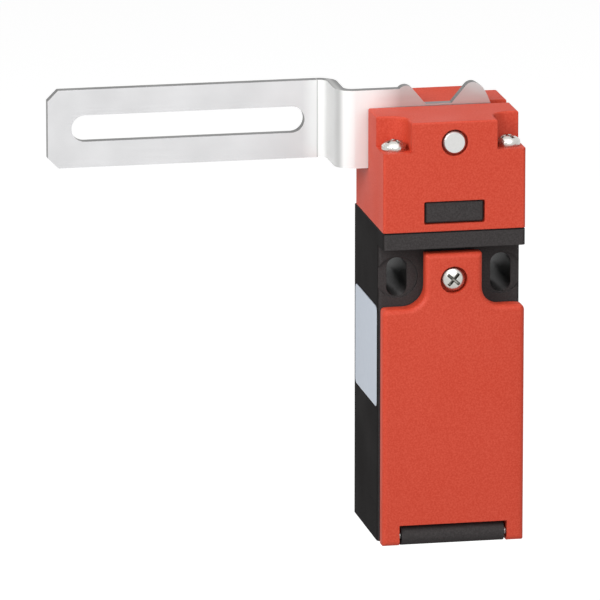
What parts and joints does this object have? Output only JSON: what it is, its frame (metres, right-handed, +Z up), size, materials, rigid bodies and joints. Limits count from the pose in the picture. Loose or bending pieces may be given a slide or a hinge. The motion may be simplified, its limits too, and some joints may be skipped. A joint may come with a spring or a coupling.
{
  "type": "safety hinge switch",
  "caption": "Lever-operated safety switch for hinged guards: slim case with hinged cover, slotted head and a cranked, slotted steel lever that pushes a plunger and its contacts.",
  "frame": {"origin": "on the rear mounting face, midway between the two fixing slots", "axes": "+X to the right seen from the front, +Y back towards the panel the switch is fixed to, +Z up"},
  "size_m": [0.0952, 0.03, 0.0948],
  "materials": {
    "case_black": "fine moulded grain",
    "case_red": "fine moulded grain",
    "seal_rubber": "smooth moulded rubber",
    "zinc_screw": "zinc plated",
    "pin_steel": "ground",
    "lever_steel": "stamped, fine satin",
    "plunger_plastic": "smooth natural",
    "carrier_plastic": "smooth moulded",
    "contact_brass": "stamped",
    "spring_steel": "drawn wire",
    "block_plastic": "smooth moulded",
    "label_paper": "printed film, left bare"
  },
  "bodies": {
    "case": {"housing_floor": "case_black", "housing_body": "case_black", "cover_hinge_pin": "pin_steel", "head_housing": "case_red", "head_seal": "seal_rubber", "head_screws": "zinc_screw", "head_plug": "case_black", "plunger_seal": "seal_rubber", "contact_block": "block_plastic", "nc_contacts": "contact_brass", "no_contacts": "contact_brass", "terminal_clamps": "zinc_screw", "terminal_screws": "zinc_screw", "block_screws": "zinc_screw", "side_label": "label_paper", "return_spring": "spring_steel"},
    "lever": {"operating_lever": "lever_steel", "pivot_pin": "pin_steel"},
    "plunger": {"cam_plunger": "plunger_plastic", "contact_carrier": "carrier_plastic", "nc_bridge": "contact_brass", "no_bridge": "contact_brass", "nc_bridge_spring": "spring_steel", "no_bridge_spring": "spring_steel"},
    "cover": {"front_cover": "case_red", "cover_seal": "seal_rubber", "cover_screw": "zinc_screw"}
  },
  "joints": [
    {"name": "lever_pivot", "type": "hinge", "parent": "case", "child": "lever", "pos_m": [0, -0.013, 0.0292], "axis": [0, 1, 0], "range_deg": [0, 130]},
    {"name": "plunger_slide", "type": "slide", "parent": "case", "child": "plunger", "axis": [0, 0, -1], "range_m": [0, 0.00265], "deforming": ["return_spring"]},
    {"name": "cover_hinge", "type": "hinge", "parent": "case", "child": "cover", "pos_m": [0, -0.0278, -0.0545], "axis": [1, 0, 0], "range_deg": [0, 110]}
  ],
  "couplings": [
    {"joint": "plunger_slide", "follows": "lever_pivot", "m_per_rad": 0.0011459}
  ]
}
